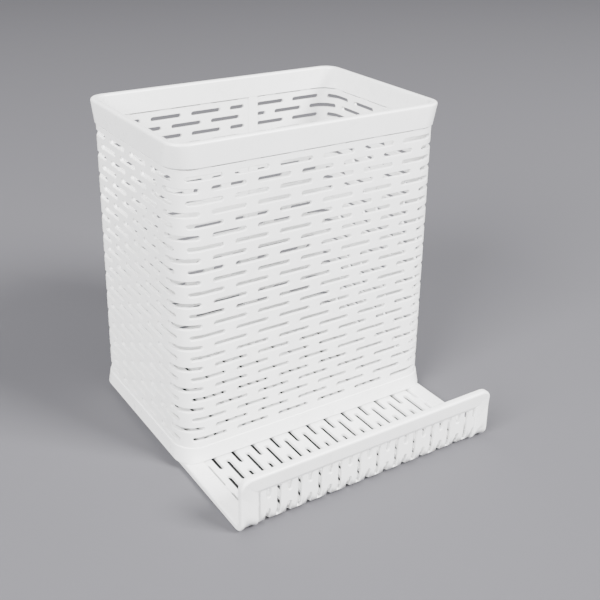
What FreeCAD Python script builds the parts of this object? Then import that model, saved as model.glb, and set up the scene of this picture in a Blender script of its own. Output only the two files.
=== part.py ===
import FreeCAD, Part
import math
import os
import Sketcher

# Drained cheese mould: a tall slotted sleeve standing on an L-shaped slotted drain tray.
# Millimetres, +Z up, +X to the right, -Y to the front. The origin is the centre of the
# tray's footprint, on the surface that the tray rests on.

os.makedirs("parts", exist_ok=True)
doc = FreeCAD.newDocument("cheese_mould")

# ---------------------------------------------------------------- driving sizes
SIZES = (
    ("mould_width", 150.0, "sleeve over its outer faces, left to right"),
    ("mould_depth", 100.0, "sleeve over its outer faces, front to back"),
    ("mould_height", 164.0, "sleeve with both bands"),
    ("corner_radius", 12.0, "outer radius of the sleeve's four bends"),
    ("sheet_thickness", 2.0, "slotted sheet stock"),
    ("slot_pitch", 24.0, "slot to slot along a row"),
    ("row_pitch", 5.6, "row to row across the slots"),
    ("slot_length", 18.0, "slot, end to end"),
    ("slot_gape", 2.4, "slot, across"),
    ("slot_shortest", 5.0, "a slot that an edge would cut shorter is left out"),
    ("rim_height", 12.0, "top band"),
    ("rim_lip", 0.6, "top band's stand-out at its lower edge"),
    ("rim_flare", 1.0, "top band's stand-out at its upper edge"),
    ("rim_corner", 9.0, "top band's outer corners, at its upper edge"),
    ("rim_bore_corner", 7.0, "top band's inner corners, at its upper edge"),
    ("rim_round", 1.1, "rounding of the top band's upper edges"),
    ("foot_height", 8.5, "bottom band"),
    ("foot_lip", 0.6, "bottom band's stand-out at its upper edge"),
    ("foot_flare", 1.0, "bottom band's stand-out at its lower edge"),
    ("foot_corner", 10.0, "bottom band's outer corners, at its lower edge"),
    ("foot_round", 0.6, "rounding of the bottom band's lower edges"),
    ("band_liner", 0.8, "both bands' thickness inside the sleeve"),
    ("band_web", 3.0, "both bands' thickness beyond the sheet's edge"),
    ("first_row_drop", 5.0, "first open row below the top band"),
    ("seam_offset", 21.0, "seam to the right of the sleeve's centre, on the back"),
    ("seam_gap", 0.2, "between the sheet's two ends"),
    ("seam_lead", 3.0, "plain sheet between the seam and the slots right of it"),
    ("seam_tail", 5.6, "plain sheet between the seam and the slots left of it"),
    ("strip_width", 6.0, "weld strip inside the seam"),
    ("strip_thickness", 0.7, "weld strip inside the seam"),
    ("tray_margin", -0.5, "tray beyond the bottom band, at the sides and the back; negative is under it"),
    ("tray_reach", 54.0, "tray's front wall ahead of the sleeve's front face"),
    ("tray_lip_flare", 1.0, "front wall's top edge beyond its face"),
    ("front_wall_height", 29.0, "front wall above the resting surface"),
    ("bend_radius", 6.0, "outer radius of the tray's bend"),
    ("edging_width", 9.0, "edge strips of the tray"),
    ("edging_skin", 0.7, "edge strips' thickness on each side of the sheet"),
    ("edging_web", 3.0, "edge strips' thickness beyond the sheet's edge"),
    ("edging_corner", 5.0, "rounding of the front wall's two upper corners"),
    ("tray_back_corner", 7.0, "rounding of the tray's two back corners"),
    ("tray_slot_lead", 12.4, "a slot's centre ahead of the sleeve's front face"),
    ("tray_column_pitch", 5.6, "column to column across the tray"),
    ("tray_columns", 24, "columns of slots across the tray"),
    ("tray_slot_margin", 1.5, "plain sheet between the tray's slots and the sheet's edge"),
    ("seat_clearance", 0.1, "sleeve above the tray"),
    ("overcut", 1.0, "cutters past the faces that they cut"),
)
sheet = doc.addObject("Spreadsheet::Sheet", "Sizes")
for line, (alias, amount, note) in enumerate(SIZES, start=1):
    sheet.set(f"A{line}", note)
    sheet.set(f"B{line}", str(amount))
    sheet.setAlias(f"B{line}", alias)
doc.recompute()


def value(expression):
    """Number that an expression on the sheet comes to."""
    amount = sheet.evalExpression(expression)
    return float(getattr(amount, "Value", amount))


# Places and sizes that follow from the driving sizes.
TRAY_THICK = "(Sizes.sheet_thickness + 2 * Sizes.edging_skin)"
TRAY_HALF = "(Sizes.mould_width / 2 + Sizes.foot_flare + Sizes.tray_margin)"
TRAY_BACK = (
    "((Sizes.mould_depth + Sizes.foot_flare + Sizes.tray_margin"
    " + Sizes.tray_reach + Sizes.tray_lip_flare) / 2)"
)
WALL_FACE = f"(Sizes.tray_lip_flare - {TRAY_BACK})"
MOULD_FRONT = f"({WALL_FACE} + Sizes.tray_reach)"
MOULD_MIDDLE = f"({MOULD_FRONT} + Sizes.mould_depth / 2)"
MOULD_FLOOR = f"({TRAY_THICK} + Sizes.seat_clearance)"
FOOT_EDGE = f"({MOULD_FLOOR} + Sizes.foot_height)"
MOULD_TOP = f"({MOULD_FLOOR} + Sizes.mould_height)"
RIM_EDGE = f"({MOULD_TOP} - Sizes.rim_height)"


# ---------------------------------------------------------------- document helpers
TOUCHING = 1e-4


def same(first, second):
    """Whether two lengths agree to within the modelling tolerance."""
    return abs(first - second) < TOUCHING


def bind(thing, bindings):
    """Tie properties of a document object to expressions on the sheet."""
    for name, expression in bindings.items():
        thing.setExpression(name, expression)
    return thing


def box(name, low, high):
    """Part::Box between two corners given as expressions."""
    thing = doc.addObject("Part::Box", name)
    sides = zip(("Length", "Width", "Height"), ("x", "y", "z"), low, high)
    for side, axis, start, end in sides:
        thing.setExpression(side, f"({end}) - ({start})")
        thing.setExpression(f"Placement.Base.{axis}", start)
    return thing


def cut(name, base, tool):
    """Part::Cut of a tool from a base."""
    thing = doc.addObject("Part::Cut", name)
    thing.Base = base
    thing.Tool = tool
    return thing


def common(name, base, tool):
    """Part::Common of two objects."""
    thing = doc.addObject("Part::Common", name)
    thing.Base = base
    thing.Tool = tool
    return thing


def fuse(name, pieces):
    """Part::MultiFuse of several objects."""
    thing = doc.addObject("Part::MultiFuse", name)
    thing.Shapes = pieces
    return thing


def rounded(name, base, radius, chosen):
    """Part::Fillet on the edges that a test picks."""
    doc.recompute()
    edges = [
        (number, radius, radius)
        for number, edge in enumerate(base.Shape.Edges, start=1)
        if chosen(edge.BoundBox)
    ]
    thing = doc.addObject("Part::Fillet", name)
    thing.Base = base
    thing.Edges = edges
    return thing


def sleeve_outline(name, growth, level, bend=None):
    """Sketch of the sleeve's outline, grown outwards by an amount, at a level.

    Its corners keep the sleeve's bend centres, unless another corner radius is given.
    """
    sketch = doc.addObject("Sketcher::SketchObject", name)
    bend = bend or f"(Sizes.corner_radius + ({growth}))"
    span_x = f"Sizes.mould_width + 2 * ({growth}) - 2 * {bend}"
    span_y = f"Sizes.mould_depth + 2 * ({growth}) - 2 * {bend}"
    half_x = value(span_x) / 2
    half_y = value(span_y) / 2
    radius = value(bend)
    quarter = math.pi / 2
    centres = ((half_x, -half_y), (half_x, half_y), (-half_x, half_y), (-half_x, -half_y))
    for corner, centre in enumerate(centres):
        angle = (corner - 1) * quarter
        reach = FreeCAD.Vector(radius * math.cos(angle), radius * math.sin(angle), 0)
        start = FreeCAD.Vector(*centres[corner - 1], 0) + reach
        end = FreeCAD.Vector(*centre, 0) + reach
        circle = Part.Circle(FreeCAD.Vector(*centre, 0), FreeCAD.Vector(0, 0, 1), radius)
        sketch.addGeometry(Part.LineSegment(start, end), False)
        sketch.addGeometry(Part.ArcOfCircle(circle, angle, angle + quarter), False)
    pieces = 2 * len(centres)
    for piece in range(pieces):
        following = (piece + 1) % pieces
        sketch.addConstraint(Sketcher.Constraint("Tangent", piece, 2, following, 1))
    for arc in (3, 5, 7):
        sketch.addConstraint(Sketcher.Constraint("Equal", 1, arc))
    sketch.addConstraint(Sketcher.Constraint("Horizontal", 0))
    sketch.addConstraint(Sketcher.Constraint("Symmetric", 1, 3, 5, 3, -1, 1))
    dimensions = (
        ("span_x", Sketcher.Constraint("DistanceX", 7, 3, 1, 3, 2 * half_x), span_x),
        ("span_y", Sketcher.Constraint("DistanceY", 1, 3, 3, 3, 2 * half_y), span_y),
        ("bend", Sketcher.Constraint("Radius", 1, radius), bend),
    )
    for label, constraint, expression in dimensions:
        sketch.renameConstraint(sketch.addConstraint(constraint), label)
        sketch.setExpression(f"Constraints.{label}", expression)
    return bind(sketch, {"Placement.Base.y": MOULD_MIDDLE, "Placement.Base.z": level})


def sleeve_prism(name, growth, low, high):
    """The sleeve's outline, grown by an amount, as a solid between two levels."""
    thing = doc.addObject("Part::Extrusion", name)
    thing.Base = sleeve_outline(f"{name}_outline", growth, low)
    thing.DirMode = "Normal"
    thing.Solid = True
    return bind(thing, {"LengthFwd": f"({high}) - ({low})"})


def sleeve_taper(name, below, above):
    """A solid whose outline changes evenly between two (growth, level, corner) outlines."""
    thing = doc.addObject("Part::Loft", name)
    thing.Sections = [
        sleeve_outline(f"{name}_low", *below),
        sleeve_outline(f"{name}_high", *above),
    ]
    thing.Solid = True
    thing.Ruled = True
    return thing


# Local axes of a quarter cylinder or a wedge: its X, Y and Z along these row directions.
TURN_BEND = FreeCAD.Rotation(
    FreeCAD.Vector(0, -1, 0), FreeCAD.Vector(0, 0, -1), FreeCAD.Vector(1, 0, 0), "ZXY"
)
TURN_UPRIGHT = FreeCAD.Rotation(
    FreeCAD.Vector(1, 0, 0), FreeCAD.Vector(0, 0, 1), FreeCAD.Vector(0, -1, 0), "ZXY"
)


def bent_plate(name, inset, outer, inner, back, top):
    """L-shaped plate: its outer and inner faces lie that deep below the tray's outer face."""
    left = f"{inset} - {TRAY_HALF}"
    right = f"{TRAY_HALF} - {inset}"
    bend_y = f"{WALL_FACE} + Sizes.bend_radius"
    floor = box(f"{name}_floor", (left, bend_y, outer), (right, back, inner))
    wall_low = (left, f"{WALL_FACE} + {outer}", "Sizes.bend_radius")
    wall_high = (right, f"{WALL_FACE} + {inner}", top)
    wall = box(f"{name}_wall", wall_low, wall_high)
    quarters = []
    for label, depth in (("outside", outer), ("inside", inner)):
        quarter = doc.addObject("Part::Cylinder", f"{name}_bend_{label}")
        quarter.Angle = 90
        quarter.Placement = FreeCAD.Placement(FreeCAD.Vector(), TURN_BEND)
        bind(
            quarter,
            {
                "Radius": f"Sizes.bend_radius - ({depth})",
                "Height": f"({right}) - ({left})",
                "Placement.Base.x": left,
                "Placement.Base.y": bend_y,
                "Placement.Base.z": "Sizes.bend_radius",
            },
        )
        quarters.append(quarter)
    bend = cut(f"{name}_bend", *quarters)
    return fuse(name, [floor, bend, wall])


def trapezoid(name, narrow, wide, near, far, low, high, rotation, origin):
    """Part::Wedge whose width grows from narrow to wide between near and far."""
    thing = doc.addObject("Part::Wedge", name)
    thing.Placement = FreeCAD.Placement(FreeCAD.Vector(), rotation)
    return bind(
        thing,
        {
            "Xmin": f"-({narrow})",
            "Xmax": narrow,
            "X2min": f"-({wide})",
            "X2max": wide,
            "Ymin": near,
            "Ymax": far,
            "Zmin": low,
            "Zmax": high,
            "Z2min": low,
            "Z2max": high,
            "Placement.Base.y": origin,
        },
    )


# ---------------------------------------------------------------- slots along a bent sheet
class BentLine:
    """A line of straight runs and quarter bends, measured along the middle of the sheet."""

    def __init__(self, start, heading, outward, begin):
        self.place = FreeCAD.Vector(*start, 0)
        self.heading = FreeCAD.Vector(*heading, 0)
        self.outward = FreeCAD.Vector(*outward, 0)
        self.reached = begin
        self.stretches = []

    def run(self, length):
        """Go straight on."""
        centre = None
        self.stretches.append((self.reached, length, self.place, self.heading, self.outward, centre))
        self.place = self.place + self.heading * length
        self.reached += length

    def bend(self, radius):
        """Turn a quarter away from the outward side."""
        length = radius * math.pi / 2
        centre = self.place - self.outward * radius
        self.stretches.append((self.reached, length, self.place, self.heading, self.outward, centre))
        self.place = centre + self.heading * radius
        self.heading, self.outward = self.outward * -1, self.heading
        self.reached += length

    def stretch_at(self, distance):
        """The run or bend that a distance along the line falls in."""
        for stretch in self.stretches:
            if distance <= stretch[0] + stretch[1]:
                return stretch
        return self.stretches[-1]

    def point(self, distance, offset):
        """Point that far along the line, moved outwards by an offset, and its outward side."""
        begin, _, place, heading, outward, centre = self.stretch_at(distance)
        if centre is None:
            return place + heading * (distance - begin) + outward * offset, outward
        radius = (place - centre).Length
        angle = (distance - begin) / radius
        side = outward * math.cos(angle) + heading * math.sin(angle)
        return centre + side * (radius + offset), side

    def straight(self, start, end):
        """Whether both distances fall in one straight run."""
        stretch = self.stretch_at(start)
        return stretch is self.stretch_at(end) and stretch[5] is None

    def edges(self, start, end, offset, place):
        """Edges that follow the line between two distances, at an offset."""
        marks = [start, end] + [stretch[0] for stretch in self.stretches if start < stretch[0] < end]
        marks.sort()
        found = []
        for first, last in zip(marks, marks[1:]):
            middle = (first + last) / 2
            a, m, b = (place(self.point(d, offset)[0]) for d in (first, middle, last))
            if self.stretch_at(middle)[5] is None:
                found.append(Part.LineSegment(a, b).toShape())
            else:
                found.append(Part.Arc(a, m, b).toShape())
        return found


def slot_cutter(line, start, end, place, across):
    """Round-ended cutter for one slot; place turns the line's plane into the row's frame."""
    gape = value("Sizes.slot_gape")
    reach = value("Sizes.sheet_thickness") / 2 + value("Sizes.overcut")
    first = start + gape / 2
    last = end - gape / 2
    a = place(line.point(first, -reach)[0])
    b = place(line.point(last, -reach)[0])
    side_a = place(line.point(first, reach)[0]) - a
    side_b = place(line.point(last, reach)[0]) - b
    half = across * (gape / 2)
    if line.straight(first, last):
        along = (b - a).normalize() * (gape / 2)
        outline = Part.Wire(
            [
                Part.LineSegment(a - half, b - half).toShape(),
                Part.Arc(b - half, b + along, b + half).toShape(),
                Part.LineSegment(b + half, a + half).toShape(),
                Part.Arc(a + half, a - along, a - half).toShape(),
            ]
        )
        return Part.Face(outline).extrude(side_a)
    outer = line.edges(first, last, reach, place)
    inner = line.edges(first, last, -reach, place)
    close = [
        Part.LineSegment(a, a + side_a).toShape(),
        Part.LineSegment(b, b + side_b).toShape(),
    ]
    strip = Part.Face(Part.Wire(Part.sortEdges(outer + inner + close)[0]))
    strip.translate(half * -1)
    ends = [
        Part.makeCylinder(gape / 2, 2 * reach, a, side_a),
        Part.makeCylinder(gape / 2, 2 * reach, b, side_b),
    ]
    return strip.extrude(half * 2).fuse(ends)


def slot_row(line, first_edge, last_edge, centre, place, across):
    """Cutters for a row of slots on both sides of one centre, cut short at the edges."""
    pitch = value("Sizes.slot_pitch")
    length = value("Sizes.slot_length")
    shortest = value("Sizes.slot_shortest")
    lowest = math.floor((first_edge - centre) / pitch)
    highest = math.ceil((last_edge - centre) / pitch)
    cutters = []
    for step in range(lowest, highest + 1):
        start = max(first_edge, centre + step * pitch - length / 2)
        end = min(last_edge, centre + step * pitch + length / 2)
        if end - start >= shortest:
            cutters.append(slot_cutter(line, start, end, place, across))
    return cutters


def cutters_object(name, cutters):
    """Document object that holds a whole pattern of cutters."""
    thing = doc.addObject("Part::Feature", name)
    thing.Shape = Part.makeCompound(cutters)
    return thing


# ---------------------------------------------------------------- sleeve: slotted wall
SHEET_LOW = f"({MOULD_FLOOR} + Sizes.band_web)"
SHEET_HIGH = f"({MOULD_TOP} - Sizes.band_web)"
wall_blank = cut(
    "wall_blank",
    sleeve_prism("wall_outside", "0", SHEET_LOW, SHEET_HIGH),
    sleeve_prism("wall_inside", "-Sizes.sheet_thickness", SHEET_LOW, SHEET_HIGH),
)


def sleeve_line():
    """The sleeve's mid-sheet line from the seam round by the left, front and right."""
    middle_bend = value("Sizes.corner_radius - Sizes.sheet_thickness / 2")
    flat_x = value("Sizes.mould_width - 2 * Sizes.corner_radius")
    flat_y = value("Sizes.mould_depth - 2 * Sizes.corner_radius")
    seam = value("Sizes.seam_offset")
    back = value(f"{MOULD_MIDDLE} + Sizes.mould_depth / 2 - Sizes.sheet_thickness / 2")
    to_front_middle = seam + flat_x + flat_y + middle_bend * math.pi
    line = BentLine((seam, back), (-1, 0), (0, 1), -to_front_middle)
    line.run(seam + flat_x / 2)
    for flat in (flat_y, flat_x, flat_y):
        line.bend(middle_bend)
        line.run(flat)
    line.bend(middle_bend)
    line.run(flat_x / 2 - seam)
    return line


def wall_cutters():
    """Brick pattern of level slots, centred on the front, from the seam to the seam."""
    line = sleeve_line()
    begin = line.stretches[0][0] + value("Sizes.seam_tail")
    finish = line.reached - value("Sizes.seam_lead")
    row_pitch = value("Sizes.row_pitch")
    foot_edge = value(FOOT_EDGE)
    half_gape = value("Sizes.slot_gape") / 2
    level = value(f"{RIM_EDGE} - Sizes.first_row_drop") + row_pitch
    shift = 0.0
    cutters = []
    while level - half_gape > foot_edge:
        height = FreeCAD.Vector(0, 0, level)
        cutters += slot_row(line, begin, finish, shift, height.add, FreeCAD.Vector(0, 0, 1))
        shift = value("Sizes.slot_pitch") / 2 - shift
        level -= row_pitch
    return cutters


seam_low = (
    "Sizes.seam_offset - Sizes.seam_gap / 2",
    f"{MOULD_MIDDLE} + Sizes.mould_depth / 2 - Sizes.sheet_thickness - Sizes.overcut",
    f"{SHEET_LOW} - Sizes.overcut",
)
seam_high = (
    "Sizes.seam_offset + Sizes.seam_gap / 2",
    f"{MOULD_MIDDLE} + Sizes.mould_depth / 2 + Sizes.overcut",
    f"{SHEET_HIGH} + Sizes.overcut",
)
wall_slots = cutters_object("wall_slots", wall_cutters())
slotted = cut("wall_slotted", wall_blank, wall_slots)
mould_wall = cut("mould_wall", slotted, box("seam", seam_low, seam_high))

# ---------------------------------------------------------------- sleeve: weld strip
strip_low = (
    "Sizes.seam_offset - Sizes.strip_width / 2",
    f"{MOULD_MIDDLE} + Sizes.mould_depth / 2 - Sizes.sheet_thickness - Sizes.strip_thickness",
    FOOT_EDGE,
)
strip_high = (
    "Sizes.seam_offset + Sizes.strip_width / 2",
    f"{MOULD_MIDDLE} + Sizes.mould_depth / 2 - Sizes.sheet_thickness",
    RIM_EDGE,
)
seam_strip = box("seam_strip", strip_low, strip_high)

# ---------------------------------------------------------------- sleeve: top and bottom bands
LINER = "-(Sizes.sheet_thickness + Sizes.band_liner)"


def band(name, below, above, corners, rounding, rounded_level):
    """U-shaped band over one edge of the wall, between two (stand-out, level, corner) outlines.

    The faces of its bore stay upright, and corners are the bore's corner radii at the two levels.
    """
    outside = sleeve_taper(f"{name}_outside", below, above)
    bore_below, bore_above = ((LINER, end[1], corner) for end, corner in zip((below, above), corners))
    bore = sleeve_taper(f"{name}_bore", bore_below, bore_above)
    ring = cut(f"{name}_ring", outside, bore)
    level = value(rounded_level)
    smooth = rounded(
        f"{name}_smooth",
        ring,
        value(rounding),
        lambda bounds: same(bounds.ZMin, level) and same(bounds.ZMax, level),
    )
    return cut(name, smooth, wall_blank)


rim_band = band(
    "rim_band",
    ("Sizes.rim_lip", RIM_EDGE, None),
    ("Sizes.rim_flare", MOULD_TOP, "Sizes.rim_corner"),
    (None, "Sizes.rim_bore_corner"),
    "Sizes.rim_round",
    MOULD_TOP,
)
foot_band = band(
    "foot_band",
    ("Sizes.foot_flare", MOULD_FLOOR, "Sizes.foot_corner"),
    ("Sizes.foot_lip", FOOT_EDGE, None),
    (None, None),
    "Sizes.foot_round",
    MOULD_FLOOR,
)

# ---------------------------------------------------------------- tray: slotted sheet
SHEET_UNDER = "Sizes.edging_skin"
SHEET_OVER = "(Sizes.edging_skin + Sizes.sheet_thickness)"
SHEET_BACK = f"({TRAY_BACK} - Sizes.edging_web)"
WALL_TOP = "Sizes.front_wall_height"
SHEET_TOP = f"({WALL_TOP} - Sizes.edging_web)"
tray_blank = bent_plate(
    "tray_blank", "Sizes.edging_web", SHEET_UNDER, SHEET_OVER, SHEET_BACK, SHEET_TOP
)


def tray_line():
    """The tray's mid-sheet line, in the Y-Z plane, from its back edge to its top edge."""
    depth = value(f"({SHEET_UNDER} + {SHEET_OVER}) / 2")
    bend = value("Sizes.bend_radius") - depth
    back = value(SHEET_BACK)
    floor_run = back - value(f"{WALL_FACE} + Sizes.bend_radius")
    begin = value(MOULD_FRONT) - back
    line = BentLine((back, depth), (-1, 0), (0, -1), begin)
    line.run(floor_run)
    line.bend(bend)
    line.run(value(f"{SHEET_TOP} - Sizes.bend_radius"))
    return line


def tray_cutters():
    """Brick pattern of slots that run front to back and up the front wall."""
    line = tray_line()
    margin = value("Sizes.tray_slot_margin")
    begin = line.stretches[0][0] + margin
    finish = line.reached - margin
    pitch = value("Sizes.tray_column_pitch")
    columns = round(value("Sizes.tray_columns"))
    cutters = []
    for column in range(columns):
        across = (column - (columns - 1) / 2) * pitch
        centre = value("Sizes.tray_slot_lead") + (column % 2) * value("Sizes.slot_pitch") / 2

        def place(point, across=across):
            return FreeCAD.Vector(across, point.x, point.y)

        cutters += slot_row(line, begin, finish, centre, place, FreeCAD.Vector(1, 0, 0))
    return cutters


tray_slots = cutters_object("tray_slots", tray_cutters())
tray_sheet = cut("tray_sheet", tray_blank, tray_slots)

# ---------------------------------------------------------------- tray: edge strips
lip = doc.addObject("Part::Wedge", "lip")
lip.Placement = FreeCAD.Placement(FreeCAD.Vector(), TURN_UPRIGHT)
bind(
    lip,
    {
        "Xmin": f"-{TRAY_HALF}",
        "Xmax": TRAY_HALF,
        "X2min": f"-{TRAY_HALF}",
        "X2max": TRAY_HALF,
        "Ymin": f"{WALL_TOP} - Sizes.edging_width",
        "Ymax": WALL_TOP,
        "Zmin": "-Sizes.edging_skin",
        "Zmax": "0",
        "Z2min": "-Sizes.edging_skin",
        "Z2max": "Sizes.tray_lip_flare",
        "Placement.Base.y": WALL_FACE,
    },
)
edging_plate = bent_plate("edging_plate", "0", "0", TRAY_THICK, TRAY_BACK, WALL_TOP)
edging_block = fuse("edging_block", [edging_plate, lip])
tray_half = value(TRAY_HALF)
wall_top = value(WALL_TOP)
tray_back = value(TRAY_BACK)


def at_top_corner(bounds):
    """Whether an edge is one of the front wall's two short upper corner edges."""
    at_side = same(bounds.XLength, 0) and same(abs(bounds.XMin), tray_half)
    return at_side and same(bounds.ZLength, 0) and same(bounds.ZMin, wall_top)


def at_back_corner(bounds):
    """Whether an edge is one of the tray's two upright back corner edges."""
    at_side = same(bounds.XLength, 0) and same(abs(bounds.XMin), tray_half)
    return at_side and same(bounds.YLength, 0) and same(bounds.YMin, tray_back)


edging_topped = rounded(
    "edging_topped", edging_block, value("Sizes.edging_corner"), at_top_corner
)
edging_cornered = rounded(
    "edging_cornered", edging_topped, value("Sizes.tray_back_corner"), at_back_corner
)
window = bent_plate(
    "window",
    "Sizes.edging_width",
    "-Sizes.overcut",
    f"({TRAY_THICK} + Sizes.overcut)",
    f"({TRAY_BACK} - Sizes.edging_width)",
    f"({WALL_TOP} - Sizes.edging_width)",
)
edging_frame = cut("edging_frame", cut("edging_open", edging_cornered, window), tray_blank)

NARROW = f"({TRAY_HALF} - Sizes.edging_width)"
front_mitre = trapezoid(
    "front_mitre",
    NARROW,
    TRAY_HALF,
    f"{WALL_TOP} - Sizes.edging_width",
    WALL_TOP,
    f"-{TRAY_THICK} - Sizes.overcut",
    "Sizes.tray_lip_flare + Sizes.overcut",
    TURN_UPRIGHT,
    WALL_FACE,
)
back_mitre = trapezoid(
    "back_mitre",
    NARROW,
    TRAY_HALF,
    "-Sizes.edging_width",
    "0",
    "-Sizes.overcut",
    f"{TRAY_THICK} + Sizes.overcut",
    FreeCAD.Rotation(),
    TRAY_BACK,
)
front_edging = common("front_edging", edging_frame, front_mitre)
back_edging = common("back_edging", edging_frame, back_mitre)
side_edging = cut("side_edging", cut("side_and_back", edging_frame, front_mitre), back_mitre)
half_front = f"{WALL_FACE} - Sizes.tray_lip_flare - Sizes.overcut"
half_back = f"{TRAY_BACK} + Sizes.overcut"
half_top = f"{WALL_TOP} + Sizes.overcut"
half_low = "-Sizes.overcut"
left_half = box(
    "left_half", (f"-{TRAY_HALF} - Sizes.overcut", half_front, half_low), ("0", half_back, half_top)
)
right_half = box(
    "right_half", ("0", half_front, half_low), (f"{TRAY_HALF} + Sizes.overcut", half_back, half_top)
)
left_edging = common("left_edging", side_edging, left_half)
right_edging = common("right_edging", side_edging, right_half)

# ---------------------------------------------------------------- checks and files
doc.recompute()
NODES = (
    mould_wall,
    seam_strip,
    rim_band,
    foot_band,
    tray_sheet,
    front_edging,
    back_edging,
    left_edging,
    right_edging,
)
for thing in doc.Objects:
    if "Invalid" in thing.State or "Error" in thing.State:
        raise SystemExit(f"{thing.Label} failed: {thing.State}")
for node in NODES:
    shape = node.Shape
    if shape.isNull() or not shape.isValid() or not shape.Solids:
        raise SystemExit(f"{node.Label} has no valid solid")
    shape.exportStep(f"parts/{node.Label}.step")
    bounds = shape.BoundBox
    print(
        f"{node.Label}: {len(shape.Solids)} solid, {len(shape.Faces)} faces, {shape.Volume:.0f} mm3,"
        f" x {bounds.XMin:.1f}..{bounds.XMax:.1f}, y {bounds.YMin:.1f}..{bounds.YMax:.1f},"
        f" z {bounds.ZMin:.1f}..{bounds.ZMax:.1f}"
    )
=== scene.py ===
import math

import bpy
import numpy as np
from mathutils import Matrix, Vector


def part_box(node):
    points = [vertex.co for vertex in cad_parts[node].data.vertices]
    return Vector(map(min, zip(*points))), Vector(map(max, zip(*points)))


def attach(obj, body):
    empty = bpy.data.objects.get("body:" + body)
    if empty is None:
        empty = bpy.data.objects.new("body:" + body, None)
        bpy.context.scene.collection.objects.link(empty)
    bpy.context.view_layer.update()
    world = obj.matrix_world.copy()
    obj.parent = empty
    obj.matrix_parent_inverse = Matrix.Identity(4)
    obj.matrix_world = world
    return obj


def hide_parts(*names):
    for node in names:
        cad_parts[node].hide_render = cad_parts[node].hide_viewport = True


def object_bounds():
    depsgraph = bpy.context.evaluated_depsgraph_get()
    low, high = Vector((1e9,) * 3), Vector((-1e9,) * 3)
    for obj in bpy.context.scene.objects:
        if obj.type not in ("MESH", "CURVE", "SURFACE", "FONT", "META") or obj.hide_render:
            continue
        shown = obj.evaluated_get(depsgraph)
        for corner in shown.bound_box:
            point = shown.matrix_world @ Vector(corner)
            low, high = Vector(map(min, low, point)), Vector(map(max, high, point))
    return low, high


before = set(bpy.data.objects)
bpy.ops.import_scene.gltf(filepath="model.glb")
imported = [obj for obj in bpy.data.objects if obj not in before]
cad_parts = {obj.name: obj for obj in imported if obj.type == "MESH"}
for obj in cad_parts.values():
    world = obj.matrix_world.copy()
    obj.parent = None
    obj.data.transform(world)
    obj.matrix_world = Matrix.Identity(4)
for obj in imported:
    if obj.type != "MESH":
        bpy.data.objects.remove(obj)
cad_low, cad_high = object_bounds()

# %% [markdown]
# ## The cheese mould and its two bodies
#
# The object is a tall slotted sleeve that stands loose on an L-shaped slotted tray. Whey runs out through
# the slots while the curd settles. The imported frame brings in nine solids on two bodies, and a slide that
# lifts the sleeve off. Outer sizes and places are read from those solids. Sizes inside a sheet or a band,
# such as its slots and its corners, are named values in millimetres.

# %% Sizes read from the frame
MM = 0.001


def millimetres(node):
    """Lowest and highest corner of a solid, in millimetres."""
    low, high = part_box(node)
    return np.array(low) / MM, np.array(high) / MM


wall_low, wall_high = millimetres("mould_wall")
rim_low, rim_high = millimetres("rim_band")
foot_low, foot_high = millimetres("foot_band")
sheet_low, sheet_high = millimetres("tray_sheet")
back_low, back_high = millimetres("back_edging")
strip_low, strip_high = millimetres("seam_strip")
width, depth = (wall_high - wall_low)[:2]
middle_y = (wall_low + wall_high)[1] / 2
print(f"sleeve {width:.1f} x {depth:.1f} mm, from z {wall_low[2]:.1f} to {wall_high[2]:.1f}")

# %% [markdown]
# ## From flat numbers to a mesh
#
# Both slotted sheets are flat stock that is bent afterwards, so each one is drawn flat, with a distance
# `u` along the bend line, a distance `v` across it and a depth `n` through the sheet, and then carried to
# its place by a function. Bending a finished mesh with a modifier would also work, but a written function
# keeps the slots' spacing exact through every bend. The surfaces are lists of quads, gathered as arrays.
# Every corner of a quad brings its own normal, so round edges shade smoothly and flat faces stay flat.


# %% A mesh from quads that carry their own normals
WELD = 2e-6  # metres within which corners become one vertex


def quads_to_piece(name, body, material_slot, places, normals):
    """Object from quads: places and normals are (faces, 4, 3). Corners at the same place become one vertex.

    A quad with two corners at one place becomes a triangle, and one with fewer than three places is left out.
    """
    flat = places.reshape(-1, 3)
    keys = np.round(flat / WELD).astype(np.int64)
    _, first, index = np.unique(keys, axis=0, return_index=True, return_inverse=True)
    index = index.reshape(-1, 4)
    keep = index != np.roll(index, -1, axis=1)
    counts = keep.sum(axis=1)
    keep[counts < 3] = False
    counts = counts[counts >= 3]
    mesh = bpy.data.meshes.new(name)
    mesh.vertices.add(len(first))
    mesh.vertices.foreach_set("co", flat[first].ravel())
    mesh.loops.add(int(counts.sum()))
    mesh.loops.foreach_set("vertex_index", index[keep].astype(np.int32))
    mesh.polygons.add(len(counts))
    mesh.polygons.foreach_set("loop_start", (np.cumsum(counts) - counts).astype(np.int32))
    mesh.update(calc_edges=True)
    if mesh.validate():
        print(f"{name}: some faces were repaired")
    mesh.shade_smooth()
    mesh.normals_split_custom_set(normals.reshape(-1, 4, 3)[keep].tolist())
    piece = bpy.data.objects.new(name, mesh)
    bpy.context.scene.collection.objects.link(piece)
    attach(piece, body)
    print(f"{name}: {len(first)} vertices, {len(counts)} faces")
    return piece


def grid_quads(points, directions):
    """Quads between neighbours of a (rows, columns, 3) grid, with the grid's normals."""
    corners = (slice(None, -1), slice(None, -1)), (slice(1, None), slice(None, -1))
    corners += (slice(1, None), slice(1, None)), (slice(None, -1), slice(1, None))
    pick = lambda grid: np.stack([grid[a, b] for a, b in corners], axis=2).reshape(-1, 4, 3)
    return pick(points), pick(directions)


# %% [markdown]
# ## The two bend lines
#
# The sleeve's line is a rectangle with round corners, measured along the middle of the sheet from the
# centre of the front. The tray's line is a floor, a quarter bend and a low wall, seen from the side. A
# single function can follow either of them: straight runs and quarter bends in turn, each with its length,
# starting point and turn.


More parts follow.
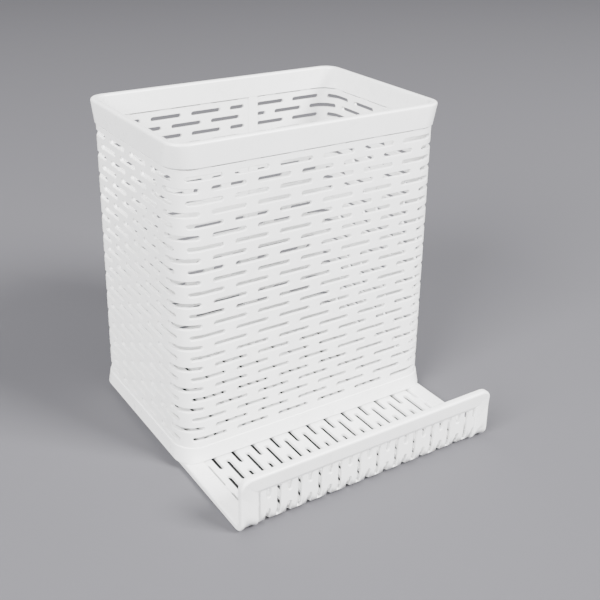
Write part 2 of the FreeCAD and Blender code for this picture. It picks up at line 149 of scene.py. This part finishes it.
# %% A line of runs and quarter bends
def bent_line(start, heading, outward, begin, stretches):
    """List of (first distance, start, heading, outward, radius); the radius of a straight run is 0."""
    place, heading, outward = np.array(start, float), np.array(heading, float), np.array(outward, float)
    found = []
    for length, radius in stretches:
        found.append((begin, place, heading, outward, radius))
        begin += length
        if radius:
            place = place + radius * (heading - outward)
            heading, outward = -outward, heading
        else:
            place = place + length * heading
    return found, begin


def follow(line, u, n):
    """Points (x, y) at distances u along a line and n out from it, and the directions along and outwards."""
    u, n = np.broadcast_arrays(np.asarray(u, float), np.asarray(n, float))
    place, along, out = (np.zeros(u.shape + (2,)) for _ in range(3))
    starts = np.array([stretch[0] for stretch in line])
    which = np.clip(np.searchsorted(starts, u, side="right") - 1, 0, len(line) - 1)
    for number, (begin, start, heading, outward, radius) in enumerate(line):
        here = which == number
        run = (u - begin)[here][:, None]
        if radius:
            turn = run / radius
            side = outward * np.cos(turn) + heading * np.sin(turn)
            along[here] = heading * np.cos(turn) - outward * np.sin(turn)
            place[here] = start - outward * radius + side * (radius + n[here][:, None])
        else:
            side = np.broadcast_to(outward, run.shape[:1] + (2,))
            along[here] = heading
            place[here] = start + heading * run + side * n[here][:, None]
        out[here] = side
    return place, along, out


def sleeve_place(points, normals):
    """Sleeve: u runs round the outline, v is the height and n points out of the sleeve."""
    place, along, out = follow(sleeve_line, points[..., 0], points[..., 2])
    solid = np.concatenate([place, points[..., 1:2]], axis=-1) * MM
    flat = normals[..., 0:1] * along + normals[..., 2:3] * out
    return solid, np.concatenate([flat, normals[..., 1:2]], axis=-1)


def tray_place(points, normals):
    """Tray: u runs forward along the floor and up the wall, v is to the left and n points down or forward."""
    place, along, out = follow(tray_line, points[..., 0], points[..., 2])
    solid = np.concatenate([-points[..., 1:2], place], axis=-1) * MM
    flat = normals[..., 0:1] * along + normals[..., 2:3] * out
    return solid, np.concatenate([-normals[..., 1:2], flat], axis=-1)


# %% The sleeve's line
SHEET = 2.0
SLEEVE_CORNER = 12.0
SLOT_PITCH = 24.0
SLOT_LENGTH = 18.0
SLOT_GAPE = 2.4
ROW_PITCH = 5.6
SEAM_GAP = 0.2
middle_bend = SLEEVE_CORNER - SHEET / 2
flat_x, flat_y = width - 2 * SLEEVE_CORNER, depth - 2 * SLEEVE_CORNER
quarter = middle_bend * math.pi / 2
seam_x = (strip_low[0] + strip_high[0]) / 2
sheet_begin = -(seam_x + flat_x + flat_y + 2 * quarter)
sleeve_line, sheet_end = bent_line(
    (seam_x, wall_high[1] - SHEET / 2),
    (-1, 0),
    (0, 1),
    sheet_begin,
    (
        (seam_x + flat_x / 2, 0),
        (quarter, middle_bend),
        (flat_y, 0),
        (quarter, middle_bend),
        (flat_x, 0),
        (quarter, middle_bend),
        (flat_y, 0),
        (quarter, middle_bend),
        (flat_x / 2 - seam_x, 0),
    ),
)
print(f"flat sheet of the sleeve: {sheet_end - sheet_begin:.1f} x {wall_high[2] - wall_low[2]:.1f} mm")

# %% The tray's line
EDGING_SKIN = 0.7
TRAY_BEND = 6.0
TRAY_THICK = back_high[2] - back_low[2]
wall_face = sheet_low[1] - EDGING_SKIN
tray_depth_n = EDGING_SKIN + SHEET / 2
tray_bend = TRAY_BEND - tray_depth_n
floor_run = sheet_high[1] - (wall_face + TRAY_BEND)
tray_begin = wall_low[1] - sheet_high[1]
tray_line, tray_end = bent_line(
    (sheet_high[1], tray_depth_n),
    (-1, 0),
    (0, -1),
    tray_begin,
    ((floor_run, 0), (tray_bend * math.pi / 2, tray_bend), (sheet_high[2] - TRAY_BEND, 0)),
)
print(f"flat sheet of the tray: {sheet_high[0] - sheet_low[0]:.1f} x {tray_end - tray_begin:.1f} mm")

# %% [markdown]
# ## A slot with softened edges
#
# Each slot is a stadium hole in its own rectangle of sheet. The simplest mesh for it is a set of rings
# with the same number of points: the rectangle's border, the outer edge of the rounding, the wall of the
# hole, and the same again on the other face. A Boolean would leave long thin triangles that shade badly,
# and rings do not. The border points sit on a common ruler, so that each rectangle meets the shifted slots
# above and below it.

# %% One slot as rings
RULER = 3.0  # between border points
NEAR = 0.05  # a border point nearer to an end than this is dropped
SOFT = 0.3  # radius of the rounded edges
FACE = SHEET / 2


def ruler_marks(start, end, zero):
    """Marks of the common ruler between two distances, with both ends."""
    inner = zero + np.arange(math.floor((start - zero) / RULER), math.ceil((end - zero) / RULER) + 1) * RULER
    inner = inner[(inner > start + NEAR) & (inner < end - NEAR)]
    return np.concatenate([[start], inner, [end]])


def slot_ring(marks, low, high, start, end):
    """Outlines of one cell: border points, centres of the hole's arcs, and directions out of them."""
    radius = SLOT_GAPE / 2
    inner_start, inner_end = start + radius, end - radius
    before = np.count_nonzero(marks < inner_start - 1e-6)
    after = np.count_nonzero(marks > inner_end + 1e-6)
    straight = marks[before : len(marks) - after].copy()
    if len(straight) > 1:
        straight[0], straight[-1] = inner_start, inner_end
    left = math.pi - (math.pi / 2) * np.arange(1, before + 1) / (before + 1)
    right = (math.pi / 2) * np.arange(after, 0, -1) / (after + 1)
    angles = np.concatenate([left, np.full(len(straight), math.pi / 2), right])
    centres = np.concatenate([np.full(before, inner_start), straight, np.full(after, inner_end)])
    middle = (low + high) / 2
    over = np.stack([marks, np.full(len(marks), high)], axis=1)
    under = np.stack([marks[::-1], np.full(len(marks), low)], axis=1)
    border = np.concatenate([over, [[marks[-1], middle]], under, [[marks[0], middle]]])
    all_angles = np.concatenate([angles, [0.0], -angles[::-1], [math.pi]])
    all_centres = np.concatenate([centres, [inner_end], centres[::-1], [inner_start]])
    outward = np.stack([np.cos(all_angles), np.sin(all_angles)], axis=1)
    centre = np.stack([all_centres, np.full(len(all_centres), middle)], axis=1)
    return border, centre, outward


def slot_cell(marks, low, high, start, end):
    """Quads of one cell: the face, a rounded edge, the slot's wall, and the other rounded edge and face."""
    radius = SLOT_GAPE / 2
    border, centre, outward = slot_ring(marks, low, high, start, end)
    steps = [(None, FACE, 0.0)]
    for angle in (0.0, math.pi / 2):
        steps.append((radius + SOFT * (1 - math.sin(angle)), FACE - SOFT * (1 - math.cos(angle)), angle))
    steps += [(spread, -level, math.pi - angle) for spread, level, angle in steps[:0:-1]]
    steps.append((None, -FACE, math.pi))
    points, normals = [], []
    for spread, level, angle in steps:
        ring = border if spread is None else centre + outward * spread
        points.append(np.concatenate([ring, np.full((len(ring), 1), level)], axis=1))
        flat = -outward * math.sin(angle)
        normals.append(np.concatenate([flat, np.full((len(ring), 1), math.cos(angle))], axis=1))
    points, normals = np.array(points), np.array(normals)
    closed = np.concatenate([points, points[:, :1]], axis=1)
    closed_normals = np.concatenate([normals, normals[:, :1]], axis=1)
    return grid_quads(closed, closed_normals)


def plain_cell(marks, low, high):
    """Quads of a stretch without a slot, on both faces."""
    quads = []
    for level, ends in ((FACE, (high, low)), (-FACE, (low, high))):
        rows = [np.stack([marks, np.full(len(marks), v), np.full(len(marks), level)], axis=1) for v in ends]
        points = np.array(rows)
        normals = np.zeros_like(points)
        normals[..., 2] = np.sign(level)
        quads.append(grid_quads(points, normals))
    return tuple(np.concatenate(parts) for parts in zip(*quads))


def border_walls(marks, low, high, levels):
    """Quads that close the sheet along its four edges."""
    begin, finish = marks[0], marks[-1]
    faces = np.array([FACE, -FACE])
    quads = []
    for v, side in ((low, -1), (high, 1)):
        line = marks if side > 0 else marks[::-1]
        rows = [np.stack([line, np.full(len(line), v), np.full(len(line), n)], axis=1) for n in -faces]
        normals = np.zeros((2, len(line), 3))
        normals[..., 1] = side
        quads.append(grid_quads(np.array(rows), normals))
    for u, side in ((begin, -1), (finish, 1)):
        line = levels if side < 0 else levels[::-1]
        rows = [np.stack([np.full(len(line), u), line, np.full(len(line), n)], axis=1) for n in -faces]
        normals = np.zeros((2, len(line), 3))
        normals[..., 0] = side
        quads.append(grid_quads(np.array(rows), normals))
    return tuple(np.concatenate(parts) for parts in zip(*quads))


# %% [markdown]
# ## A whole slotted sheet
#
# Rows alternate like bricks: each row is half a pitch along from the last. Near an edge of the sheet a
# slot is cut short, or left out when hardly any of it would be left. The same function lays out both
# sheets. Only the ends, the rows and the bend line differ.


# %% Rows of slots over a flat sheet
SLOT_SHORTEST = 5.0


def slotted_sheet(begin, finish, first_slot, last_slot, rows, low, high):
    """Quads of a sheet: rows are (level, shift), and slots keep between first_slot and last_slot."""
    parts = []
    zero = rows[0][1]
    levels = [low]
    for level, shift in rows:
        bottom, top = level - ROW_PITCH / 2, level + ROW_PITCH / 2
        levels += [bottom, level, top]
        number = math.floor((begin - shift) / SLOT_PITCH - 0.5)
        edge = begin
        while edge < finish - NEAR:
            centre = shift + number * SLOT_PITCH
            number += 1
            cell_end = min(centre + SLOT_PITCH / 2, finish)
            if cell_end <= edge + NEAR:
                continue
            start = max(first_slot, centre - SLOT_LENGTH / 2)
            end = min(last_slot, centre + SLOT_LENGTH / 2)
            marks = ruler_marks(edge, cell_end, zero)
            if end - start >= SLOT_SHORTEST and start > edge and end < cell_end:
                parts.append(slot_cell(marks, bottom, top, start, end))
            else:
                parts += [plain_cell(marks, bottom, level), plain_cell(marks, level, top)]
            edge = cell_end
    levels.append(high)
    levels = np.unique(np.round(levels, 4))
    whole = ruler_marks(begin, finish, zero)
    parts.append(plain_cell(whole, low, levels[1]))
    parts.append(plain_cell(whole, levels[-2], high))
    parts.append(border_walls(whole, low, high, levels))
    return tuple(np.concatenate(part) for part in zip(*parts))


def brick_rows(first, step, count):
    """(level, shift) of rows that alternate by half a pitch; the first is not shifted."""
    return [(first + number * step, (number % 2) * SLOT_PITCH / 2) for number in range(count)]


# %% The sleeve's slotted wall
FIRST_ROW_DROP = 5.0
SEAM_LEAD = 3.0
SEAM_TAIL = 5.6
first_level = rim_low[2] - FIRST_ROW_DROP + ROW_PITCH
row_count = int((first_level - SLOT_GAPE / 2 - foot_high[2]) / ROW_PITCH) + 1
wall_quads = slotted_sheet(
    sheet_begin + SEAM_GAP / 2,
    sheet_end - SEAM_GAP / 2,
    sheet_begin + SEAM_TAIL,
    sheet_end - SEAM_LEAD,
    brick_rows(first_level, -ROW_PITCH, row_count)[::-1],
    wall_low[2],
    wall_high[2],
)
slotted_wall = quads_to_piece("slotted_wall", "mould", "white_plastic", *sleeve_place(*wall_quads))
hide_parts("mould_wall")

# %% The tray's slotted floor and front wall
TRAY_COLUMNS = 24
TRAY_SLOT_LEAD = 12.4
TRAY_SLOT_MARGIN = 1.5
columns = [
    (-(column - (TRAY_COLUMNS - 1) / 2) * ROW_PITCH, TRAY_SLOT_LEAD + (column % 2) * SLOT_PITCH / 2)
    for column in reversed(range(TRAY_COLUMNS))
]
tray_quads = slotted_sheet(
    tray_begin,
    tray_end,
    tray_begin + TRAY_SLOT_MARGIN,
    tray_end - TRAY_SLOT_MARGIN,
    columns,
    sheet_low[0],
    sheet_high[0],
)
slotted_tray = quads_to_piece("slotted_tray", "tray", "white_plastic", *tray_place(*tray_quads))
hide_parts("tray_sheet")

# %% [markdown]
# ## Bands and edge strips
#
# The sheet's cut edges are finished with moulded bands: a flared one round the top, a lower one round the
# foot, and flat strips round the tray. Each is a cross-section carried along an edge. The cross-section is
# a polygon whose corners are turned into small arcs, and the arcs bring the soft highlights of a moulded
# edge.


# %% A profile with rounded corners
ARC_STEPS = 5


def rounded_profile(corners, radii):
    """Closed outline, anticlockwise: each corner becomes an arc that is tangent to its two sides.

    An arc's centre lies r * (n1 + n2) / (1 + n1.n2) from the corner, where n1 and n2 are the sides' normals.
    """
    corners = np.array(corners, float)
    sides = np.roll(corners, -1, axis=0) - corners
    sides /= np.linalg.norm(sides, axis=1, keepdims=True)
    outward = np.stack([sides[:, 1], -sides[:, 0]], axis=1)
    before = np.roll(outward, 1, axis=0)
    alike = (before * outward).sum(axis=1)
    turn = np.arctan2(before[:, 0] * outward[:, 1] - before[:, 1] * outward[:, 0], alike)
    first = np.arctan2(before[:, 1], before[:, 0])
    angles = first[:, None] + turn[:, None] * np.linspace(0, 1, ARC_STEPS)
    normals = np.stack([np.cos(angles), np.sin(angles)], axis=2)
    signed = np.array(radii, float)[:, None] * np.sign(turn)[:, None]
    middle = signed * (before + outward) / (1 + alike)[:, None]
    points = (corners - middle)[:, None] + signed[:, None] * normals
    points, normals = points.reshape(-1, 2), normals.reshape(-1, 2)
    return np.concatenate([points, points[:1]]), np.concatenate([normals, normals[:1]])


# %% [markdown]
# ## Bands with tighter corners at their free edge
#
# A band leaves the sheet with the sheet's own bend and ends in a crisper corner, so its corners stand out
# in small points. An outline with half widths a and b and corner radius r has its four arc centres r
# inside the two sides. The sheet lies in the band's groove with its own bends. Elsewhere r changes evenly
# with height, and at angle t that tilts the surface by (|cos t| + |sin t| - 1) times the change per
# millimetre, which the normals take in.


# %% Quads of a profile carried round the sleeve
BAND_LINER = 0.8
ARC_COLUMNS = 13
QUARTERS = (0.0, math.pi / 2, math.pi, 3 * math.pi / 2)
GROOVE_SHARE = 0.8  # the sheet's groove ends below this share of the band's height
HAIR = 0.01


def round_the_sleeve(profile, normals, root, tip, outer_tip, inner_tip):
    """Quads of a (height, outward) profile carried once round the sleeve.

    The corner radii are the sheet's own at the height root, and outer_tip and inner_tip at the height tip.
    """
    height, out = profile[:, :1], profile[:, 1:]
    concentric = SLEEVE_CORNER + out - FACE
    share = (height - root) / (tip - root)
    groove = (np.abs(out) < FACE + HAIR) & (share < GROOVE_SHARE)
    outer, inner = (out > 0) & ~groove, (out < 0) & ~groove
    outer_change, inner_change = outer_tip - concentric.max(), inner_tip - concentric.min()
    change = np.where(outer, outer_change, 0) + np.where(inner, inner_change, 0)
    radius = concentric + change * share
    angles = np.concatenate([np.linspace(turn, turn + math.pi / 2, ARC_COLUMNS) for turn in QUARTERS])
    side_x = np.repeat([1, -1, -1, 1], ARC_COLUMNS)
    side_y = np.repeat([1, 1, -1, -1], ARC_COLUMNS)
    angles, side_x, side_y = (np.append(values, values[0]) for values in (angles, side_x, side_y))
    points = np.zeros((len(profile), len(angles), 3))
    directions = np.zeros_like(points)
    grown = out - FACE
    points[..., 0] = side_x * (width / 2 + grown - radius) + radius * np.cos(angles)
    points[..., 1] = middle_y + side_y * (depth / 2 + grown - radius) + radius * np.sin(angles)
    points[..., 2] = height
    spread = np.abs(np.cos(angles)) + np.abs(np.sin(angles)) - 1
    directions[..., 0] = normals[:, 1:] * np.cos(angles)
    directions[..., 1] = normals[:, 1:] * np.sin(angles)
    directions[..., 2] = normals[:, :1] + normals[:, 1:] * spread * change / (tip - root)
    directions /= np.linalg.norm(directions, axis=-1, keepdims=True)
    return grid_quads(points * MM, directions)


# %% Top band
BARELY = 0.05  # radius of a corner that stays sharp
RIM_CORNER, RIM_BORE_CORNER = 9.0, 7.0
inside, outside = -FACE - BAND_LINER, FACE
RIM_LIP, RIM_FLARE = 0.6, 1.0
rim_profile = rounded_profile(
    [
        (rim_low[2], inside),
        (rim_high[2], inside),
        (rim_high[2], outside + RIM_FLARE),
        (rim_low[2], outside + RIM_LIP),
        (rim_low[2], outside),
        (wall_high[2], outside),
        (wall_high[2], -FACE),
        (rim_low[2], -FACE),
    ],
    [0.3, 1.2, 1.3, 0.35, BARELY, BARELY, BARELY, BARELY],
)
rim_quads = round_the_sleeve(*rim_profile, rim_low[2], rim_high[2], RIM_CORNER, RIM_BORE_CORNER)
top_band = quads_to_piece("top_band", "mould", "white_band", *rim_quads)
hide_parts("rim_band")

# %% Foot band
FOOT_LIP, FOOT_FLARE, FOOT_CORNER = 0.6, 1.0, 10.0
foot_profile = rounded_profile(
    [
        (foot_low[2], inside),
        (foot_high[2], inside),
        (foot_high[2], -FACE),
        (wall_low[2], -FACE),
        (wall_low[2], outside),
        (foot_high[2], outside),
        (foot_high[2], outside + FOOT_LIP),
        (foot_low[2], outside + FOOT_FLARE),
    ],
    [0.5, 0.3, BARELY, BARELY, BARELY, BARELY, 0.4, 0.7],
)
bore_corner = SLEEVE_CORNER - FACE + inside
foot_quads = round_the_sleeve(*foot_profile, foot_high[2], foot_low[2], FOOT_CORNER, bore_corner)
bottom_band = quads_to_piece("bottom_band", "mould", "white_band", *foot_quads)
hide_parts("foot_band")

# %% [markdown]
# ## The weld strip inside the seam
#
# The sheet's two ends meet on the back wall, and a low strip inside bridges them. It is a bar with
# softened long edges, drawn as its cross-section carried upwards.

# %% Weld strip
strip_corners = [
    (strip_low[0], strip_low[1]),
    (strip_high[0], strip_low[1]),
    (strip_high[0], strip_high[1]),
    (strip_low[0], strip_high[1]),
]
STRIP_ROUND = 0.55
outline, outline_normals = rounded_profile(strip_corners, [STRIP_ROUND, STRIP_ROUND, BARELY, BARELY])
levels = np.array([strip_low[2], strip_high[2]])
bar = np.zeros((len(outline), 2, 3))
bar[..., :2], bar[..., 2] = outline[:, None], levels
bar_normals = np.zeros_like(bar)
bar_normals[..., :2] = outline_normals[:, None]
parts = [grid_quads(bar, bar_normals)]
for column, way in ((0, -1), (1, 1)):
    ring = bar[:, column]
    cap = np.stack([ring, np.broadcast_to(ring[:-1].mean(axis=0), ring.shape)][::way], axis=1)
    parts.append(grid_quads(cap, np.broadcast_to([0.0, 0.0, way], cap.shape)))
strip_quads, strip_normals = (np.concatenate(part) for part in zip(*parts))
weld_strip = quads_to_piece("weld_strip", "mould", "white_band", strip_quads * MM, strip_normals)
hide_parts("seam_strip")

# %% [markdown]
# ## Strips round the tray
#
# The strips meet in mitres, as a picture frame's sides do. On the flat sheet a mitre is a line at 45
# degrees, so each strip is a straight bar whose ends are cut by such lines, and the tray's own function
# then bends it. The front wall's upper corners and the two back corners are rounded by moving a square
# corner's points onto a quarter circle, and the last few millimetres of the wall lean outwards.

# %% Where the strips run
EDGING_WIDTH = 9.0
SIDE_STEPS, FRONT_STEPS, BACK_STEPS = 161, 81, 41
SIDEWAYS = 0.3  # a normal that leans further than this along the sheet belongs to a strip's outer edge
EDGING_WEB = 3.0
WALL_CORNER, BACK_CORNER = 5.0, 7.0
LIP_FLARE = 1.0
tray_half = back_high[0]
edge_begin, edge_end = tray_begin - EDGING_WEB, tray_end + EDGING_WEB
skin = TRAY_THICK / 2


def edging_place(points, normals):
    """Tray's place for the strips: the wall's last stretch leans out and the four corners are made round."""
    points, normals = points.copy(), normals.copy()
    lean = np.clip((points[..., 0] - (edge_end - EDGING_WIDTH)) / EDGING_WIDTH, 0, 1)
    outer = points[..., 2] > 0
    points[..., 2] += np.where(outer, lean * LIP_FLARE * (points[..., 2] / skin), 0)
    tilt = np.where(outer & (lean > 0), LIP_FLARE / EDGING_WIDTH * normals[..., 2], 0)
    normals[..., 0] -= tilt
    forward = points[..., 0] > 0
    way, radius = np.where(forward, 1, -1), np.where(forward, WALL_CORNER, BACK_CORNER)
    reach_u = way * (points[..., 0] - np.where(forward, edge_end, edge_begin)) + radius
    reach_v = np.abs(points[..., 1]) - (tray_half - radius)
    near = (reach_u > 0) & (reach_v > 0)
    longest, length = np.maximum(reach_u, reach_v), np.hypot(reach_u, reach_v)
    shrink = np.where(near, longest / np.where(near, length, 1), 1)
    side = np.sign(points[..., 1])
    points[..., 0] += np.where(near, way * reach_u * (shrink - 1), 0)
    points[..., 1] += np.where(near, side * reach_v * (shrink - 1), 0)
    facing = np.hypot(normals[..., 0], normals[..., 1])
    turned = near & (facing > SIDEWAYS)
    safe = np.where(near, length, 1)
    normals[..., 0] = np.where(turned, way * facing * reach_u / safe, normals[..., 0])
    normals[..., 1] = np.where(turned, side * facing * reach_v / safe, normals[..., 1])
    normals /= np.linalg.norm(normals, axis=-1, keepdims=True)
    return tray_place(points, normals)


def mitred_strip(name, profile, normals, start, finish, along, steps):
    """Strip whose profile (across, through) is carried along axis 0 or 1 of the flat sheet between mitres."""
    share = np.linspace(0, 1, steps)
    begin, end = start(profile[:, 0]), finish(profile[:, 0])
    points = np.zeros((len(profile), steps, 3))
    directions = np.zeros_like(points)
    points[..., along] = begin[:, None] * (1 - share) + end[:, None] * share
    points[..., 1 - along] = profile[:, :1]
    points[..., 2] = profile[:, 1:]
    directions[..., 1 - along] = normals[:, :1]
    directions[..., 2] = normals[:, 1:]
    parts = [grid_quads(points, directions)]
    for column, way in ((0, -1.0), (-1, 1.0)):
        ring = points[:, column]
        centre = np.broadcast_to(ring[:-1].mean(axis=0), ring.shape)
        cap = np.stack([ring, centre] if way > 0 else [centre, ring], axis=1)
        facing = np.zeros_like(cap)
        facing[..., along] = way
        parts.append(grid_quads(cap, facing))
    quads = [np.concatenate(part) for part in zip(*parts)]
    if along == 1:
        quads = [part[:, ::-1] for part in quads]
    return quads_to_piece(name, "tray", "white_band", *edging_place(*quads))


# %% Left and right strips
side_corners = [
    (tray_half - EDGING_WIDTH, -skin),
    (tray_half, -skin),
    (tray_half, skin),
    (tray_half - EDGING_WIDTH, skin),
]
side_radii = [0.45, 1.0, 1.0, 0.45]
from_back = lambda v: edge_begin + (tray_half - np.abs(v))
to_top = lambda v: edge_end - (tray_half - np.abs(v))
side_strips = []
for side, name, node in ((1, "left_strip", "left_edging"), (-1, "right_strip", "right_edging")):
    across = [(side * v, n) for v, n in side_corners][::side]
    strip = mitred_strip(name, *rounded_profile(across, side_radii[::side]), from_back, to_top, 0, SIDE_STEPS)
    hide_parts(node)
    side_strips.append(strip)

# %% Front and back strips
to_left = lambda edge: lambda u: tray_half - np.abs(edge - u)
to_right = lambda edge: lambda u: np.abs(edge - u) - tray_half
FRONT_BEVEL, FRONT_STEP = 1.5, 0.2
front_corners = [
    (edge_end - EDGING_WIDTH, -skin),
    (edge_end, -skin),
    (edge_end, skin),
    (edge_end - EDGING_WIDTH + FRONT_BEVEL, skin),
    (edge_end - EDGING_WIDTH, FACE + FRONT_STEP),
]
back_corners = [
    (edge_begin, -skin),
    (edge_begin + EDGING_WIDTH, -skin),
    (edge_begin + EDGING_WIDTH, skin),
    (edge_begin, skin),
]
front_outline = rounded_profile(front_corners, [0.45, 1.3, 1.3, 0.8, BARELY])
back_outline = rounded_profile(back_corners, [0.9, 0.45, 0.45, 0.9])
front_ends = to_right(edge_end), to_left(edge_end)
front_strip = mitred_strip("front_strip", *front_outline, *front_ends, 1, FRONT_STEPS)
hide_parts("front_edging")
back_ends = to_right(edge_begin), to_left(edge_begin)
back_strip = mitred_strip("back_strip", *back_outline, *back_ends, 1, BACK_STEPS)
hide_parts("back_edging")

# %% [markdown]
# ## White plastic
#
# The whole object is one white, slightly translucent plastic with a satin surface. A plain white looks
# like paper, so the finish has a faint mottle in its colour, cloudy changes in how it shines, and a very
# fine grain. The pattern reads object coordinates in metres, so its scale is the real one on every piece.
# Image textures would need unwrapping, and noise does not.


# %% The plastic's nodes
def white_plastic(name, light, dark, gloss, coat):
    """Satin white plastic: noise mixes two whites, steers the roughness and gives a fine grain."""
    material = bpy.data.materials.new(name)
    material.use_nodes = True
    nodes, links = material.node_tree.nodes, material.node_tree.links
    shader = nodes["Principled BSDF"]
    place = nodes.new("ShaderNodeTexCoord")

    def noise(scale, detail):
        texture = nodes.new("ShaderNodeTexNoise")
        texture.inputs["Scale"].default_value = scale
        texture.inputs["Detail"].default_value = detail
        links.new(place.outputs["Object"], texture.inputs["Vector"])
        return texture.outputs["Fac"]

    def between(source, low, high):
        spread = nodes.new("ShaderNodeMapRange")
        spread.inputs["From Min"].default_value = 0.3
        spread.inputs["From Max"].default_value = 0.7
        spread.inputs["To Min"].default_value = low
        spread.inputs["To Max"].default_value = high
        links.new(source, spread.inputs["Value"])
        return spread.outputs["Result"]

    colours = nodes.new("ShaderNodeMix")
    colours.data_type = "RGBA"
    colours.inputs["A"].default_value = (*dark, 1)
    colours.inputs["B"].default_value = (*light, 1)
    links.new(between(noise(60, 4), 0, 1), colours.inputs["Factor"])
    links.new(colours.outputs["Result"], shader.inputs["Base Color"])
    links.new(between(noise(140, 3), gloss - 0.05, gloss + 0.06), shader.inputs["Roughness"])
    grain = nodes.new("ShaderNodeBump")
    grain.inputs["Strength"].default_value = 0.12
    grain.inputs["Distance"].default_value = 0.00012
    links.new(noise(2600, 2), grain.inputs["Height"])
    links.new(grain.outputs["Normal"], shader.inputs["Normal"])
    shader.inputs["IOR"].default_value = 1.5
    shader.inputs["Subsurface Weight"].default_value = 0.12
    shader.inputs["Subsurface Radius"].default_value = (1.0, 0.95, 0.9)
    shader.inputs["Subsurface Scale"].default_value = 0.002
    shader.inputs["Coat Weight"].default_value = coat
    shader.inputs["Coat Roughness"].default_value = 0.25
    return material


sheet_plastic = white_plastic("white_sheet_plastic", (0.87, 0.87, 0.865), (0.82, 0.82, 0.815), 0.38, 0.05)
band_plastic = white_plastic("white_band_plastic", (0.88, 0.88, 0.875), (0.84, 0.84, 0.835), 0.30, 0.10)

# %% Finishes on the pieces
for piece in (slotted_wall, slotted_tray):
    piece.data.materials.append(sheet_plastic)
for piece in (top_band, bottom_band, weld_strip, *side_strips, front_strip, back_strip):
    piece.data.materials.append(band_plastic)
print("two finishes on 9 pieces")

# %% [markdown]
# ## Floor, light and camera
#
# The object stands on a plain floor under broad soft lights: one high on the right for the bright front,
# and a weaker one on the left, so that the left side is a little darker and the near corner shows its
# bend. The camera looks down from the front left. A small shift keeps the object's upright edges nearer to
# upright.

# %% Floor
floor_half = 3.0
floor_mesh = bpy.data.meshes.new("floor")
corners = [(x * floor_half, y * floor_half, 0.0) for x, y in ((-1, -1), (1, -1), (1, 1), (-1, 1))]
floor_mesh.from_pydata(corners, [], [(0, 1, 2, 3)])
floor = bpy.data.objects.new("floor", floor_mesh)
bpy.context.scene.collection.objects.link(floor)
floor_finish = bpy.data.materials.new("floor_finish")
floor_finish.use_nodes = True
floor_shader = floor_finish.node_tree.nodes["Principled BSDF"]
floor_shader.inputs["Base Color"].default_value = (0.088, 0.086, 0.095, 1)
floor_shader.inputs["Roughness"].default_value = 0.9
floor_mesh.materials.append(floor_finish)

# %% Painted shade: a near-black sheet under the tray
# It is scenery hidden under the tray: a near-black sheet that paints the shade beneath the tray, so the
# tray's slots look dark.
SHADE_SHEET_LEVEL, SHADE_SHEET_MARGIN = 0.3, 6.5
shade_sheet_x, shade_sheet_front, shade_sheet_back = sheet_high[0] - SHADE_SHEET_MARGIN, sheet_low[1] + SHADE_SHEET_MARGIN, sheet_high[1] - SHADE_SHEET_MARGIN
shade_sheet_corners = [(-shade_sheet_x, shade_sheet_front), (shade_sheet_x, shade_sheet_front), (shade_sheet_x, shade_sheet_back), (-shade_sheet_x, shade_sheet_back)]
shade_sheet_mesh = bpy.data.meshes.new("painted_shade_sheet")
shade_sheet_mesh.from_pydata([(x * MM, y * MM, SHADE_SHEET_LEVEL * MM) for x, y in shade_sheet_corners], [], [(0, 1, 2, 3)])
painted_shade_sheet = bpy.data.objects.new("painted_shade_sheet", shade_sheet_mesh)
bpy.context.scene.collection.objects.link(painted_shade_sheet)
shade_sheet_finish = bpy.data.materials.new("shade_sheet_finish")
shade_sheet_finish.use_nodes = True
# painted shade: this near-black colour stands in for the shade under the tray, seen through its slots
shade_sheet_finish.node_tree.nodes["Principled BSDF"].inputs["Base Color"].default_value = (0.012, 0.012, 0.013, 1)
shade_sheet_mesh.materials.append(shade_sheet_finish)


# %% Soft lights
def soft_light(name, place, aim, size, power):
    """Square area light at a place, facing a point."""
    lamp = bpy.data.lights.new(name, "AREA")
    lamp.shape = "SQUARE"
    lamp.size = size
    lamp.energy = power
    light = bpy.data.objects.new(name, lamp)
    light.location = place
    light.rotation_mode = "QUATERNION"
    light.rotation_quaternion = (Vector(aim) - Vector(place)).to_track_quat("-Z", "Y")
    bpy.context.scene.collection.objects.link(light)
    return light


centre = (Vector(cad_low) + Vector(cad_high)) / 2
soft_light("high_right", (1.2, -1.9, 1.9), centre, 1.0, 300.0)
soft_light("left_fill", (-2.1, -0.9, 1.5), centre, 1.4, 230.0)
soft_light("overhead", (-0.3, 0.6, 3.0), centre, 1.6, 40.0)
world = bpy.data.worlds.new("surroundings")
world.use_nodes = True
world.node_tree.nodes["Background"].inputs["Color"].default_value = (0.9, 0.92, 0.95, 1)
world.node_tree.nodes["Background"].inputs["Strength"].default_value = 0.3
bpy.context.scene.world = world

# %% Camera
AZIMUTH, ELEVATION, ROLL = -32.86, 21.33, 0.86
SENSOR_WIDTH, FOCAL_SHARE = 36.0, 1.565
EYE = (-0.23821, -0.37150, 0.28633)
SHIFT_ACROSS, SHIFT_UP = 0.0087, -0.1433
camera_data = bpy.data.cameras.new("camera")
camera_data.sensor_width = SENSOR_WIDTH
camera_data.lens = FOCAL_SHARE * SENSOR_WIDTH
camera_data.shift_x, camera_data.shift_y = SHIFT_ACROSS, SHIFT_UP
camera = bpy.data.objects.new("camera", camera_data)
turn, rise = math.radians(AZIMUTH), math.radians(ELEVATION)
back = Vector((math.sin(turn) * math.cos(rise), -math.cos(turn) * math.cos(rise), math.sin(rise)))
right = Vector((math.cos(turn), math.sin(turn), 0.0))
up = back.cross(right)
roll = math.radians(ROLL)
right, up = right * math.cos(roll) + up * math.sin(roll), up * math.cos(roll) - right * math.sin(roll)
pose = Matrix((right, up, back)).transposed().to_4x4()
pose.translation = Vector(EYE)
camera.matrix_world = pose
bpy.context.scene.collection.objects.link(camera)
bpy.context.scene.camera = camera

# %% Outer sizes of the solids, printed
print("solids:", [round(v / MM, 2) for v in (*cad_low, *cad_high)])
